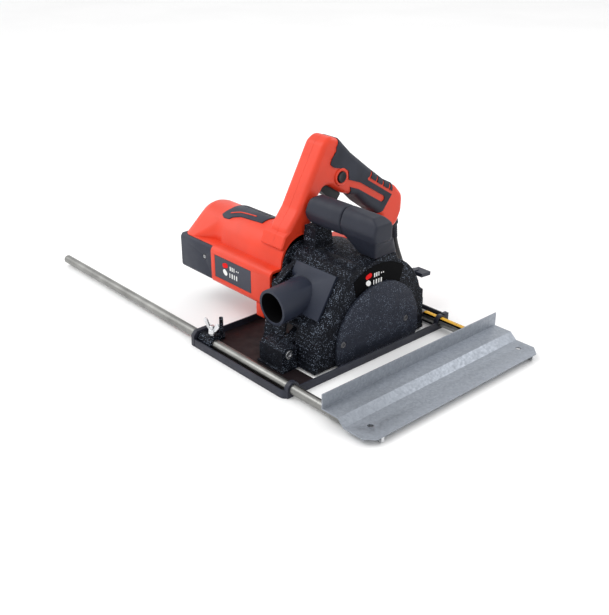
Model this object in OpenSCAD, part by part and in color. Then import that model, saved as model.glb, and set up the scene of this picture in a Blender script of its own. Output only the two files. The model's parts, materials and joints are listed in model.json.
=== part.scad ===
// Wall chaser: twin-blade slotting machine on a pressed-steel base with a pull-out edge guide.
// Frame: origin at the middle of the sole, +X along the motor axis towards the edge guide,
// +Y the way the cut travels, +Z up. Millimetres.

/* [Base] */
// Width of the base tray across the cut
tray_w = 175; // [170:1:185]
// Length of the base tray along the cut
tray_l = 276; // [274:1:290]
// Height of the base tray's turned-up rim
rim_h = 10; // [8:0.5:12]
// Sheet thickness of the base tray
sheet_t = 2; // [1.5:0.1:2.5]

/* [Edge guide] */
// Diameter of the two guide rods
rod_d = 12; // [11:0.5:12]
// Length of the guide rods
rod_len = 588; // [560:1:620]
// Length of the guide plate along the cut
plate_l = 293; // [280:1:300]
// Sheet thickness of the guide plate
plate_t = 1.5; // [1:0.1:2]
// Height of the guide plate's upright flange
flange_h = 17; // [12:1:20]

/* [Hood] */
// Outer radius of the blade hood's arch
hood_r = 78; // [77.5:0.5:80]
// Wall thickness of the hood casting
hood_wall = 2.5; // [2:0.1:2.5]
// Inner diameter of the dust outlet
dust_id = 37; // [34:0.5:38]
// Outer diameter of the dust outlet
dust_od = 44; // [42:0.5:46]

/* [Blades] */
// Diameter of the two diamond blades
blade_d = 110; // [100:1:110]
// Thickness of each blade
blade_t = 2.2; // [1.8:0.1:2.6]
// Distance between the blades
blade_gap = 26; // [16:1:28]

/* [Drive] */
// Gear module
gear_m = 1.5; // [1.5:0.5:1.5]
// Teeth on the motor pinion
pinion_n = 20; // [20:1:20]
// Teeth on the spindle gear
gear_n = 40; // [40:1:40]
// Diameter of the armature core
armature_d = 40; // [36:1:42]

/* [Handle] */
// Width of the rear handle
handle_w = 35; // [32:1:38]
// Height of the side handle's bar
aux_h = 33; // [28:1:34]

/* [Cord] */
// Diameter of the mains cord
cord_d = 7; // [6:0.5:8]

/* [Hidden] */
$fn = 48;

// Clearances
slide_gap = 0.05;     // radial play of a shaft in its bore
part_gap = 0.5;       // gap between parts that move past each other

// Base and rods
rod_y = 125;          // rods lie this far to each side of the middle
rod_z = 9;
rod_r = rod_d / 2;
rod_end = 170;        // rods reach this far towards the guide plate
ear_r = 9;
ear_t = 6;
rear_rim_h = 15;
clamp_x0 = -81;
clamp_x1 = -55;
wing_x = -61;

// Main axes
motor_y = -12;
motor_z = 92;
gear_dist = gear_m * (pinion_n + gear_n) / 2;
spin_z = 59;
spin_y = motor_y + sqrt(gear_dist * gear_dist - (motor_z - spin_z) * (motor_z - spin_z));
hinge_y = -92;
hinge_z = 22;
hinge_r = 4;

// Hood
arch_y = 22;
arch_z = 40;
hood_x0 = -24;        // open end, by the motor
hood_x1 = 72;         // plane of the bolted cover
cover_r = 69.5;
cover_z = 20;
cover_t = 3.5;
cover_screw_y = [-37, 70];
cover_screw_z = 28;
dust_x = 12.5;
dust_y = -92;
dust_z = 71;
foot_z = sheet_t;

// Motor
motor_x0 = -212;
cap_x1 = -145;
motor_x1 = -27;
shell_t = 3;
crown_y = -9;         // axis and radius of the rounded crown
crown_z = 97;
crown_r = 35;
cap_top = 92.8;       // the shell reaches over the end cap down to this height
shoulder_z = 94;      // flat top of the body beside the crown
dome_x1 = -160;       // the domed end blends into the crown here
label_low = 54.5;
label_top = 84;

// Rear handle
handle_x = -44.5;
pivot_y = 29;         // trigger pivot
pivot_z = 181;
button_y = 54;        // lock button
button_z = 188;
lock_x = -44;         // spindle lock, on the far side of the motor
lock_z = 62;

// Guide plate stations across the cut
flange_x = 145.5;
shelf_x = 170;
slope_x = 179;
edge_x = 217;
shelf_z = 15;         // underside of the shelf
flat_z = 7;           // underside of the flat
roller_r = 3.3;
roller_x = 205;
plate_y0 = -137;

// Blades
blade_x = 33;         // inner blade's inner face
blade_r = blade_d / 2;

// ---------------------------------------------------------------- shared shapes

// Rounded rectangle, centred
module rrect(w, l, r) {
    square([w - 2 * r, l], center = true);
    square([w, l - 2 * r], center = true);
    for (x = [-1, 1], y = [-1, 1])
        translate([x * (w / 2 - r), y * (l / 2 - r)]) circle(r);
}

// Cylinder along X from x0 to x1
module xcyl(r, x0, x1, y = 0, z = 0, fn = 48)
    translate([x0, y, z]) rotate([0, 90, 0]) cylinder(r = r, h = x1 - x0, $fn = fn);

// Extrude a profile drawn in (Y, Z) along X from x0 to x1
module xslab(x0, x1)
    translate([x0, 0, 0]) rotate([90, 0, 90]) linear_extrude(x1 - x0) children();

// Round-cornered stroke through points
module stroke(points, r)
    for (i = [0 : len(points) - 2])
        hull() for (p = [points[i], points[i + 1]]) translate(p) circle(r, $fn = 32);

// Socket-head screw, head outward along +Z, head's top at z = 0
module screw(head_r, head_h, shank_r, shank_l) {
    difference() {
        translate([0, 0, -head_h]) cylinder(r = head_r, h = head_h);
        translate([0, 0, -head_h * 0.5]) cylinder(r = head_r * 0.5, h = head_h, $fn = 6);
    }
    translate([0, 0, -head_h - shank_l]) cylinder(r = shank_r, h = shank_l + 0.01);
}

// Spur gear with straight-flanked teeth, along +X from x0
module spur(n, x0, w, y, z, bore, phase) {
    pitch_r = n * gear_m / 2;
    root_r = pitch_r - 1.3 * gear_m;
    tip_r = pitch_r + 0.85 * gear_m;
    half = 360 / n / 4 * 0.8;
    translate([x0, y, z]) rotate([90, 0, 90]) difference() {
        linear_extrude(w) union() {
            circle(root_r + 0.01, $fn = 96);
            for (i = [0 : n - 1]) rotate(phase + i * 360 / n)
                polygon([[root_r * 0.9, -root_r * sin(half * 1.5)],
                    [pitch_r, -pitch_r * sin(half)], [tip_r, -tip_r * sin(half * 0.45)],
                    [tip_r, tip_r * sin(half * 0.45)], [pitch_r, pitch_r * sin(half)],
                    [root_r * 0.9, root_r * sin(half * 1.5)]]);
        }
        translate([0, 0, -1]) cylinder(r = bore, h = w + 2);
    }
}

// ---------------------------------------------------------------- base

// Ear around a rod, as a (Y, Z) outline
module ear_plate(s)
    polygon([[s * 107, 0], [s * 107, 13], [s * 113, 19.5], [s * 133, 19.5], [s * 138, 14],
        [s * 138, 0]]);

module tray() {
    left = -tray_w / 2;
    right = tray_w / 2;
    color("#3a3f4d") difference() {
        union() {
            difference() {
                linear_extrude(rim_h) rrect(tray_w, tray_l, 9);
                translate([0, 0, sheet_t]) linear_extrude(rim_h)
                    rrect(tray_w - 2 * sheet_t, tray_l - 2 * sheet_t, 7);
            }
            translate([left + 9, tray_l / 2 - sheet_t, 0])
                cube([tray_w - 18, sheet_t, rear_rim_h]);
            for (s = [-1, 1]) {
                xslab(left, left + ear_t) ear_plate(s);
                xcyl(ear_r, right - ear_t, right, s * rod_y, rod_z);
                translate([right - ear_t, s * rod_y - ear_r, 0]) cube([ear_t, 2 * ear_r, rod_z]);
            }
            translate([right - ear_t, rod_y + 5, 0]) cube([ear_t, 8, 18]);
        }
        // slot for the blades, and room for the gear case when plunged
        translate([28, -84, -1]) cube([50, 208, sheet_t + 2]);
        translate([-30, -54, -1]) cube([27.5, 124, sheet_t + 2]);
        for (y = [-rod_y, rod_y])
            xcyl(rod_r + slide_gap, -tray_w, tray_w, y, rod_z);
        // path of the scale tape
        intersection() {
            xcyl(rod_r + 0.7, right - ear_t - 1, right + 1, rod_y, rod_z);
            translate([0, rod_y - 9, rod_z + 1]) cube([tray_w, 20, 12]);
        }
    }
}

// Guide rods, welded under the plate's shelf
module guide_rods()
    color("#83837f") for (y = [-rod_y, rod_y]) difference() {
        xcyl(rod_r, rod_end - rod_len, rod_end, y, rod_z);
        xcyl(rod_r - 1.5, rod_end - rod_len - 1, rod_end - rod_len + 12, y, rod_z);
    }

module rod_saddles()
    color("#83837f") for (y = [-rod_y, rod_y]) difference() {
        translate([flange_x + 3, y - 8, rod_z - 1]) cube([20, 16, shelf_z - rod_z + 1]);
        xcyl(rod_r, 0, 2 * edge_x, y, rod_z);
    }

// Bent profile of the guide plate in (X, Z), swept along Y
module plate_profile()
    polygon([[flange_x, shelf_z], [shelf_x, shelf_z], [slope_x, flat_z], [edge_x, flat_z],
        [edge_x, flat_z + plate_t], [slope_x + 0.6, flat_z + plate_t],
        [shelf_x + 0.6, shelf_z + plate_t], [flange_x + plate_t, shelf_z + plate_t],
        [flange_x + plate_t, shelf_z + plate_t + flange_h],
        [flange_x, shelf_z + plate_t + flange_h]]);

module guide_plate()
    color("#9499a3") difference() {
        translate([0, plate_y0 + plate_l, 0]) rotate([90, 0, 0])
            linear_extrude(plate_l) plate_profile();
        for (y = [-113.2, 139.8])
            translate([194.5, y, 0]) cylinder(r = 3.25, h = 20);
        // clipped outer corners
        for (s = [0, 1])
            translate([edge_x, plate_y0 + s * plate_l, 0]) rotate([0, 0, 45])
                cube([16, 16, 60], center = true);
    }

module scale_tape()
    color("#e0a81c") difference() {
        xcyl(rod_r + 0.3, 60, 138, rod_y, rod_z);
        xcyl(rod_r, 0, 200, rod_y, rod_z);
        translate([0, rod_y - 10, rod_z - 10]) cube([200, 20, 13.5]);
    }

module roller_at(y)
    color("#5a5a58") difference() {
        xcyl(roller_r, roller_x, roller_x + 10, y, roller_r);
        xcyl(1.5 + slide_gap, roller_x - 1, roller_x + 12, y, roller_r);
    }
module roller_front() roller_at(-118);
module roller_rear() roller_at(140);

module roller_axles()
    color("#9a9a98") for (y = [-118, 140]) {
        xcyl(1.5, roller_x - 2.5, roller_x + 11.9, y, roller_r);
        for (x = [roller_x - 2.5, roller_x + 10.4])
            translate([x, y - 2, 2]) cube([1.5, 4, flat_z - 2]);
    }

// Clamp blocks that grip the rods at the tray's outer end
module rod_clamps()
    color("#2b2d33") {
        for (s = [-1, 1]) difference() {
            union() {
                xcyl(8.6, clamp_x0, clamp_x1, s * rod_y, rod_z);
                translate([clamp_x0, s * rod_y - 8, foot_z])
                    cube([clamp_x1 - clamp_x0, 16, rod_z - foot_z]);
                translate([wing_x, s * rod_y, rod_z]) cylinder(r = 6, h = 11);
            }
            xcyl(rod_r + slide_gap, -90, -50, s * rod_y, rod_z);
            translate([wing_x, s * rod_y, rod_z]) cylinder(r = 3 + slide_gap, h = 20);
            translate([-100, s * rod_y - 20, foot_z - 10]) cube([60, 40, 10]);
        }
        // stop post for the rod
        translate([-75, -101, foot_z]) cylinder(r = 2.5, h = 28);
        translate([-75, -101, foot_z]) cylinder(r = 4.5, h = 5);
    }

module wing_screw_at(y)
    color("#b9bcc0") translate([wing_x, y, rod_z]) {
        translate([0, 0, rod_r + 0.4]) cylinder(r = 3, h = 17);
        translate([0, 0, 13]) cylinder(r = 5, h = 6);
        for (s = [0, 180]) rotate([0, 0, s]) translate([2, -1.2, 14])
            rotate([0, -35, 0]) cube([15, 2.4, 9]);
    }
module wing_screw_front() wing_screw_at(-rod_y);
module wing_screw_rear() wing_screw_at(rod_y);

// Casting on the tray that carries the plunge hinge
module hinge_block()
    color("#26282c") difference() {
        union() {
            translate([2, -103, foot_z]) cube([41, 22.4, 26]);
            xslab(2, 43) polygon([[-101, 27], [-99, 31], [-82, 31], [-80.6, 27]]);
            translate([0, -105, foot_z]) cube([45, 24.4, 3]);
        }
        // room for the hinge arm
        translate([13, -99.5, foot_z + 1]) cube([17, 60, 26.4]);
        xcyl(hinge_r, -5, 60, hinge_y, hinge_z);
        xcyl(5.8, 41, 60, hinge_y, hinge_z);
    }

module hinge_pin()
    color("#c4c6c8") {
        xcyl(hinge_r, 1, 42, hinge_y, hinge_z);
        difference() {
            xcyl(5.5, 41, 43.4, hinge_y, hinge_z);
            xcyl(2.5, 42, 47, hinge_y, hinge_z, 6);
        }
        xcyl(6, -1, 2, hinge_y, hinge_z);
    }

// Coil spring between the tray and the bracket under the motor
spring_x = -49;
spring_y = -44;
spring_r = 6.5;
spring_top = 25;
lug_z = 28;           // underside of the lug that the spring pushes on
module plunge_spring()
    color("#8d9196") difference() {
        translate([spring_x, spring_y, foot_z]) cylinder(r = spring_r, h = spring_top - foot_z);
        translate([spring_x, spring_y, foot_z - 1]) cylinder(r = spring_r - 1.6, h = 30);
    }

// ---------------------------------------------------------------- hood

// Front facet of the hood that carries the dust port, as two (Y, Z) points
facet_low = [-59, 57.5];
facet_top = [-30, 106.5];
bulge_r = 26;

// Side outline of the hood in (Y, Z); inset shrinks it by the wall
module hood_outline(inset = 0)
    difference() {
        union() {
            translate([arch_y, arch_z]) circle(hood_r - inset, $fn = 96);
            translate([motor_y, motor_z]) circle(bulge_r - inset, $fn = 64);
            polygon([[-80 + inset, foot_z], [-69 + inset, 50 - inset],
                facet_low + [inset, -inset], facet_top + [inset, -inset],
                [60, 90], [104 - inset, 56], [106 - inset, foot_z]]);
        }
        // the facet stays flat past the bulge round the motor's nose
        polygon([facet_low + [0.7 * inset, 0], 2 * facet_top - facet_low + [0.7 * inset, 0],
            facet_top + [-60, 60], facet_low + [-60, 0]]);
        translate([-200, foot_z - 200 - inset]) square([400, 200]);
    }

module hood()
    color("#26282c") difference() {
        union() {
            xslab(hood_x0, hood_x1) hood_outline();
            // wall facing the motor
            xslab(hood_x0, hood_x0 + 12) polygon([[-64, 50], [-61, 84], [-44, 96], [-30, 108],
                [-10, 114], [20, 108], [24, 50]]);
            // post under the side handle
            xslab(-23, -1) polygon([[-18, 100], [-12, 124], [-10, 143], [14, 143], [17, 124],
                [28, 100]]);
            // foot of the side handle on the arch
            xslab(46, 72) polygon([[4, 100], [12, 118], [20, 121], [50, 121], [60, 96]]);
            // foot bolted to the tray
            translate([hood_x0, 104, foot_z]) cube([hood_x1 - hood_x0, 3, 4]);
        }
        xslab(hood_x0 + hood_wall, hood_x1 - hood_wall) hood_outline(hood_wall);
        // open bottom
        translate([hood_x0 + hood_wall, -72, foot_z - 1]) cube([91, 170, 5]);
        // open end by the motor, wide enough for the gear case to drop
        xslab(hood_x0 - 1, hood_x0 + 5)
            polygon([[-48, 0], [-48, 80], [-36, 104], [-12, 114], [14, 108], [48, 96], [64, 72], [66, 0]]);
        // slot for the hinge arm
        translate([12, -100, foot_z - 1]) cube([19, 60, 44]);
        // dust mouth
        translate([dust_x, dust_y, dust_z]) rotate([-86, 0, 0]) cylinder(r = dust_id / 2, h = 70);
        // blade chamber mouth on the cover side
        xslab(hood_x1 - hood_wall - 1, hood_x1 + 1) difference() {
            translate([arch_y, cover_z]) circle(54);
            translate([-100, -96]) square([300, 100]);
        }
        for (y = cover_screw_y)
            xcyl(2, 50, 80, y, cover_screw_z);
    }

// Flat D-shaped cover over the blade chamber
module blade_cover()
    color("#2c2f36") difference() {
        xslab(hood_x1, hood_x1 + cover_t) difference() {
            translate([arch_y, cover_z]) circle(cover_r, $fn = 96);
            translate([-100, foot_z - 200]) square([300, 200]);
        }
        for (y = cover_screw_y) {
            xcyl(2.2, 60, 90, y, cover_screw_z);
            xcyl(4.2, hood_x1 + 2, 90, y, cover_screw_z);
        }
    }

module cover_screws()
    color("#b9bcc0") for (y = cover_screw_y)
        translate([hood_x1 + 3.4, y, cover_screw_z]) rotate([0, 90, 0]) screw(3.8, 1.4, 1.9, 10);

// Crescent label on the end of the hood's arch, above the cover
module cover_label()
    color("#111214") xslab(hood_x1, hood_x1 + 0.4) intersection() {
        difference() {
            translate([arch_y, arch_z]) circle(73.5, $fn = 96);
            translate([arch_y, cover_z]) circle(cover_r + 0.6, $fn = 96);
        }
        polygon([[-15, 81], [-20, 100], [-20, 130], [65, 130], [65, 100], [58, 80], [22, 60]]);
    }

module dust_port()
    color("#3b4152") difference() {
        union() {
            translate([dust_x, dust_y, dust_z]) rotate([-86, 0, 0]) cylinder(r = dust_od / 2, h = 50);
            // mounting plate on the hood's facet
            difference() {
                xslab(-11, 57) polygon([facet_low + [0, 1], facet_low + [-3, 2.5],
                    facet_top + [-3, 1], facet_top]);
                translate([-12, -100, 106]) rotate([0, 45, 0]) cube([30, 120, 30], center = true);
            }
        }
        translate([dust_x, dust_y, dust_z]) rotate([-86, 0, 0]) translate([0, 0, -1])
            cylinder(r = dust_id / 2, h = 80);
        // trimmed flush with the front of the hood
        xslab(-20, 60) polygon([[-80.02, foot_z], [-69.02, 50], facet_low - [0.02, 0],
            facet_top + (facet_top - facet_low) * 0.2 - [0.02, 0], [60, 110], [60, 0]]);
    }

// ---------------------------------------------------------------- side handle

aux_x0 = -24;
aux_x1 = 92;
aux_y = 7;
aux_z = 160;
// Bar outline in (X, Z)
module aux_outline()
    polygon([[aux_x0, aux_z - 8], [aux_x0 + 6, aux_z - aux_h / 2], [-2, 143.5], [aux_x1 - 10, 143.5],
        [aux_x1, 150], [aux_x1, aux_z + 10], [aux_x1 - 10, aux_z + aux_h / 2],
        [aux_x0 + 12, aux_z + aux_h / 2 + 4], [aux_x0 + 3, aux_z + aux_h / 2 - 2]]);

module aux_half(s)
    difference() {
        union() {
            translate([0, aux_y, 0]) intersection() {
                rotate([90, 0, 0]) translate([0, 0, -17]) linear_extrude(34) aux_outline();
                hull() {
                    xcyl(14, aux_x0 - 1, aux_x1 + 1, 0, aux_z + 5, 32);
                    xcyl(14, aux_x0 - 1, aux_x1 + 1, 0, aux_z - 5, 32);
                    xcyl(10, aux_x0 - 1, aux_x1 + 1, -6, aux_z, 32);
                }
            }
            // leg down and back to the arch
            hull() {
                translate([38, aux_y - 10, 145]) cube([50, 30, 4]);
                translate([48, 12, 121.5]) cube([26, 36, 2]);
            }
        }
        translate([s > 0 ? aux_x0 - 34 : 35.9, -100, 0]) cube([-aux_x0 + 70.1, 250, 300]);
    }
module aux_handle_left() color("#40435a") aux_half(-1);
module aux_handle_right() color("#40435a") aux_half(1);

module aux_screws()
    color("#6d7075") {
        translate([-13, 3, 143.4]) mirror([0, 0, 1]) translate([0, 0, -0.1]) cylinder(r = 2.4, h = 12);
        translate([60, 34, 121.4]) mirror([0, 0, 1]) translate([0, 0, -0.1]) cylinder(r = 2.4, h = 8);
    }

// Depth stop behind the hood
stop_y = 112;
stop_z = 58;
module depth_quadrant()
    color("#2b2d33") difference() {
        union() {
            translate([17, 107.4, foot_z]) cube([4, 10.8, 62]);
            translate([10, 107.4, foot_z]) cube([30, 10.8, 3]);
        }
        xcyl(3, 0, 60, stop_y, stop_z);
    }

module depth_lever()
    color("#3a3d48") {
        xcyl(3 - slide_gap, 14, 30, stop_y, stop_z);
        xcyl(6, 21.5, 30, stop_y, stop_z);
        translate([22, stop_y, stop_z - 3]) rotate([-3, 0, 0]) cube([8, 30, 5]);
        translate([20, stop_y + 24, stop_z - 6]) rotate([-4, 0, 0]) cube([21, 17, 5]);
    }

// ---------------------------------------------------------------- motor

// Body section in (Y, Z): a low box with a rounded crown
module motor_section(inset = 0) {
    hull() {
        for (y = [-56, 20])
            translate([y, 50]) circle(6 - inset, $fn = 32);
        for (y = [-54, 18])
            translate([y, 86]) circle(8 - inset, $fn = 32);
    }
    hull() {
        translate([crown_y, crown_z]) circle(crown_r - inset, $fn = 64);
        translate([-13, 78]) circle(34 - inset, $fn = 64);
    }
}

// Rounded end of the crown over the end cap, from a profile turned about the crown's axis
module crown_end(inset = 0, x1 = cap_x1 + 1)
    translate([0, crown_y, crown_z]) rotate([0, 90, 0]) rotate_extrude($fn = 96)
        polygon([[0, motor_x0 + 2 + inset], [18 - inset, motor_x0 + 2 + inset],
            [25 - inset, motor_x0 + 5 + inset], [30 - inset, motor_x0 + 9.5 + inset],
            [33 - inset, motor_x0 + 15 + inset], [34.3 - inset, motor_x0 + 22],
            [34.3 - inset, x1], [0, x1]]);

// Flat shoulders beside the crown, from the back end to x1
module shoulders(x1)
    translate([(motor_x0 + 2 + x1) / 2, -18, cap_top])
        linear_extrude(shoulder_z - cap_top) rrect(x1 - motor_x0 - 2, 80, 14);

module motor_housing()
    color("#e8432a") difference() {
        union() {
            xslab(cap_x1 + part_gap, motor_x1) motor_section();
            // crown and domed end reaching back over the end cap
            intersection() {
                union() {
                    crown_end();
                    shoulders(cap_x1 + 15);
                    hull() {
                        crown_end(0, dome_x1);
                        shoulders(dome_x1 - 18);
                    }
                }
                translate([motor_x0 - 50, -100, cap_top]) cube([200, 200, 100]);
            }
            // lug that the plunge spring pushes on
            translate([-56, -60, lug_z]) cube([14, 24, 44 - lug_z + 1]);
        }
        xslab(cap_x1 - 1, motor_x1 + 1) motor_section(shell_t);
        crown_end(shell_t);
        // label recess and cooling slots
        translate([-137, -63, label_low - 0.5]) cube([74, 1.8, label_top - label_low + 1]);
        for (i = [0 : 6])
            translate([-196 + i * 7, 10, 104]) cube([3, 60, 4]);
        for (i = [0 : 4])
            translate([-120 + i * 8, 10, 60]) cube([4, 60, 20]);
        translate([spring_x, spring_y, lug_z - 1]) cylinder(r = 2.6, h = 24);
        translate([lock_x, 0, lock_z]) rotate([-90, 0, 0]) cylinder(r = 5.3, h = 60);
    }

module rear_cap()
    color("#3d4250") {
        difference() {
            intersection() {
                xslab(motor_x0, cap_x1) motor_section(0.8);
                translate([motor_x0 - 50, -100, 0]) cube([200, 200, cap_top - 0.5]);
            }
            xslab(motor_x0 + 3, cap_x1 + 1) motor_section(shell_t + 0.8);
            for (i = [0 : 4])
                translate([motor_x0 - 1, -45 + i * 12, 60]) cube([5, 5, 28]);
            for (y = [-70, 24])
                translate([-160, y, 74]) rotate([-90, 0, 0]) cylinder(r = 2.2, h = 20);
        }
        // cradle of the rear bearing
        intersection() {
            difference() {
                xcyl(15, motor_x0 + 2.9, rear_bearing_x + 8, motor_y, motor_z);
                xcyl(12, motor_x0, rear_bearing_x + 9, motor_y, motor_z);
            }
            translate([motor_x0, -100, 0]) cube([100, 200, cap_top - 0.5]);
        }
    }

module cap_screws()
    color("#b9bcc0") {
        translate([-160, -61.2, 74]) rotate([90, 0, 0]) screw(3.5, 2, 2, 8);
        translate([-160, 25.2, 74]) rotate([-90, 0, 0]) screw(3.5, 2, 2, 8);
    }

module label_plate()
    color("#2b2f3a") translate([-136.5, -62, label_low]) cube([73, 0.8, label_top - label_low]);

// Dark panel wrapped over the crown, with louvres on its far side
module vent_grille()
    color("#2f323b") intersection() {
        difference() {
            xcyl(crown_r + 1.3, -160, -88, crown_y, crown_z, 96);
            xcyl(crown_r + 0.05, -170, -80, crown_y, crown_z, 96);
            for (i = [0 : 7])
                translate([-148 + i * 7, -3, 100]) cube([3, 16, 60]);
        }
        translate([0, 0, 105]) linear_extrude(60)
            polygon([[-158, -31], [-153, -33], [-142, -32.5], [-138.5, -29.5], [-127, -25],
                [-115, -24], [-88, -22], [-88, 16], [-150, 16], [-154, -20]]);
    }

module stator()
    color("#6b6f75") xslab(-130, -70) difference() {
        translate([motor_y, motor_z]) circle(29.5);
        translate([motor_y, motor_z]) circle(armature_d / 2 + 0.8);
        for (s = [0, 180]) translate([motor_y, motor_z]) rotate(s)
            translate([20, -8]) square([6, 16]);
    }

module brush_holders()
    color("#b8862f") for (s = [-1, 1])
        translate([-168, motor_y, motor_z + s * 20.6]) cube([14, 9, 10], center = true);

rear_bearing_x = -206;
module motor_shaft()
    color("#a9adb1") {
        xcyl(5, rear_bearing_x - 1, -8, motor_y, motor_z);
        xcyl(6.5, -150, -46, motor_y, motor_z);
    }

module armature_core()
    color("#7a4a2a") difference() {
        xcyl(armature_d / 2, -128, -72, motor_y, motor_z);
        xcyl(6.5, -200, 0, motor_y, motor_z);
        for (a = [0 : 30 : 330])
            translate([-130, motor_y, motor_z]) rotate([a, 0, 0])
                translate([0, -1.2, armature_d / 2 - 2]) cube([60, 2.4, 4]);
    }

module commutator()
    color("#b87333") difference() {
        xcyl(15, -178, -158, motor_y, motor_z);
        xcyl(5, -200, 0, motor_y, motor_z);
    }

module cooling_fan()
    color("#4a4c50") difference() {
        union() {
            xcyl(28, -54, -51, motor_y, motor_z);
            xcyl(10, -62, -51, motor_y, motor_z);
            for (a = [0 : 36 : 324])
                translate([-62, motor_y, motor_z]) rotate([a, 0, 0])
                    translate([0, -1, 8]) cube([9, 2, 19]);
        }
        xcyl(6.5, -80, -50.5, motor_y, motor_z);
        xcyl(5, -80, -40, motor_y, motor_z);
    }

module motor_bearings()
    color("#8f9397") for (x = [rear_bearing_x, -36]) difference() {
        xcyl(12, x, x + 8, motor_y, motor_z);
        xcyl(5 + slide_gap, x - 1, x + 9, motor_y, motor_z);
    }

// ---------------------------------------------------------------- gear case and spindle

gear_x = -18;
gear_w = 9;
case_x1 = -4;
arm_r = 6.5;

module case_section(inset = 0)
    hull() {
        translate([motor_y, motor_z]) circle(20 - inset, $fn = 48);
        translate([spin_y, spin_z]) circle(34.5 - inset, $fn = 64);
    }

module gear_case()
    color("#26282c") difference() {
        union() {
            xslab(motor_x1 + 0.01, case_x1) case_section();
            xcyl(31, motor_x1 + 0.01, motor_x1 + 2.5, motor_y, motor_z);
            xcyl(15, case_x1 - 1, 20, spin_y, spin_z);
            // arm to the plunge hinge
            xslab(14, 29) stroke([[hinge_y, hinge_z], [-72, hinge_z], [-22, 56]], arm_r);
            xcyl(8, -12, 29, -22, 56);
        }
        xslab(gear_x - 1, case_x1 - 2.5) case_section(2);
        xcyl(5.5, -40, -10, motor_y, motor_z);
        xcyl(12, 3.5, 21, spin_y, spin_z);
        xcyl(9.5, -20, 21, spin_y, spin_z);
        xcyl(hinge_r + slide_gap, 0, 60, hinge_y, hinge_z);
    }

module pinion() color("#9da1a6") spur(pinion_n, gear_x, gear_w, motor_y, motor_z, 5, 0);

mesh_angle = atan2(spin_z - motor_z, spin_y - motor_y);
module drive_gear()
    color("#9da1a6") spur(gear_n, gear_x, gear_w, spin_y, spin_z, 9,
        mesh_angle + 180 - (360 / gear_n) / 2
        + (mesh_angle - 360 / pinion_n * round(mesh_angle / (360 / pinion_n))) * pinion_n / gear_n);

module spindle_bearing()
    color("#8f9397") difference() {
        xcyl(12, 4, 18, spin_y, spin_z);
        xcyl(9 + slide_gap, 3, 19, spin_y, spin_z);
    }

module spindle_shaft()
    color("#a9adb1") {
        xcyl(9, -18.5, 27, spin_y, spin_z);
        xcyl(6, 26, 69, spin_y, spin_z);
    }

module disc(r, x0, x1, bore)
    difference() {
        xcyl(r, x0, x1, spin_y, spin_z);
        xcyl(bore, x0 - 1, x1 + 1, spin_y, spin_z);
    }

module inner_flange() color("#777b80") disc(21, 27, blade_x, 6);

module diamond_blades()
    color("#8c8f94") for (x = [blade_x, blade_x + blade_gap])
        translate([x, spin_y, spin_z]) rotate([90, 0, 90]) difference() {
            cylinder(r = blade_r, h = blade_t, $fn = 96);
            translate([0, 0, -1]) cylinder(r = 6, h = 9);
            for (a = [0 : 30 : 330]) rotate([0, 0, a])
                translate([blade_r - 9, -0.8, -1]) cube([12, 1.6, 9]);
        }

module blade_spacer() color("#777b80") disc(17, blade_x + blade_t, blade_x + blade_gap, 6);

module outer_flange()
    color("#777b80") disc(18, blade_x + blade_gap + blade_t, blade_x + blade_gap + blade_t + 3, 6);

module arbor_nut()
    color("#b9bcc0") difference() {
        xcyl(10, blade_x + blade_gap + blade_t + 3, 68, spin_y, spin_z, 6);
        xcyl(6, 0, 90, spin_y, spin_z);
    }

// Stud and collar under the motor's lug for the plunge spring, and the plunge stop screw
module spring_bolt()
    color("#8d9196") {
        translate([spring_x, spring_y, 16]) cylinder(r = 2.6, h = 28);
        translate([spring_x, spring_y, spring_top + 0.3])
            cylinder(r = spring_r, h = lug_z - spring_top - 0.3);
        xcyl(3.4, -60, -56, -54, 36);
    }

// ---------------------------------------------------------------- rear handle

// Closed loop outline in (Y, Z)
handle_outer = [[-44, 124], [-15, 160], [9, 203], [26, 234], [38, 241], [50, 236], [72, 214],
    [105, 188], [133, 167], [156, 155], [170, 140], [169, 118], [160, 100], [130, 92], [90, 84],
    [40, 76], [18, 80], [0, 118]];
handle_inner = [[6, 130], [10, 150], [18, 170], [27, 181], [36, 180], [60, 165], [83, 158],
    [101, 141], [122, 126], [132, 116], [118, 110], [84, 104], [48, 104], [24, 116]];
// Half widths and insets that round the handle's sides
handle_steps = [[0, 6.5], [0.6, 4.4], [1.9, 2.4], [4, 0.8], [6.5, 0]];

module loop_outline(grow = 0)
    difference() {
        offset(r = grow) offset(r = 9, $fn = 40) offset(delta = -9) polygon(handle_outer);
        offset(r = -grow) offset(r = 5, $fn = 24) offset(delta = -5) polygon(handle_inner);
    }

module handle_solid(grow = 0)
    for (step = handle_steps)
        xslab(handle_x - handle_w / 2 + step[0] - grow, handle_x + handle_w / 2 - step[0] + grow)
            offset(delta = grow - step[1]) loop_outline();

module handle_half(s)
    difference() {
        union() {
            handle_solid();
            // flared foot on the motor
            xslab(handle_x - 23, handle_x + handle_w / 2) polygon([[-44, 116], [-37, 132], [-28, 138],
                [0, 140], [8, 110]]);
        }
        // hollow grip with room for the switch
        xslab(handle_x - handle_w / 2 + 3, handle_x + handle_w / 2 - 3)
            offset(delta = -4.2) loop_outline();
        // seat on the motor
        xslab(handle_x - 30, handle_x + 30) motor_section(-0.1);
        // trigger window
        translate([handle_x - 9, 20, 150]) cube([18, 48, 42]);
        // lock button collar
        if (s > 0) xcyl(7.3, handle_x, handle_x + 40, button_y, button_z);
        // other half
        translate([s > 0 ? handle_x - 99.9 : handle_x - 0.1, -100, 0]) cube([100, 400, 300]);
    }
module handle_left() color("#e8432a") handle_half(-1);
module handle_right() color("#e8432a") handle_half(1);

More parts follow.
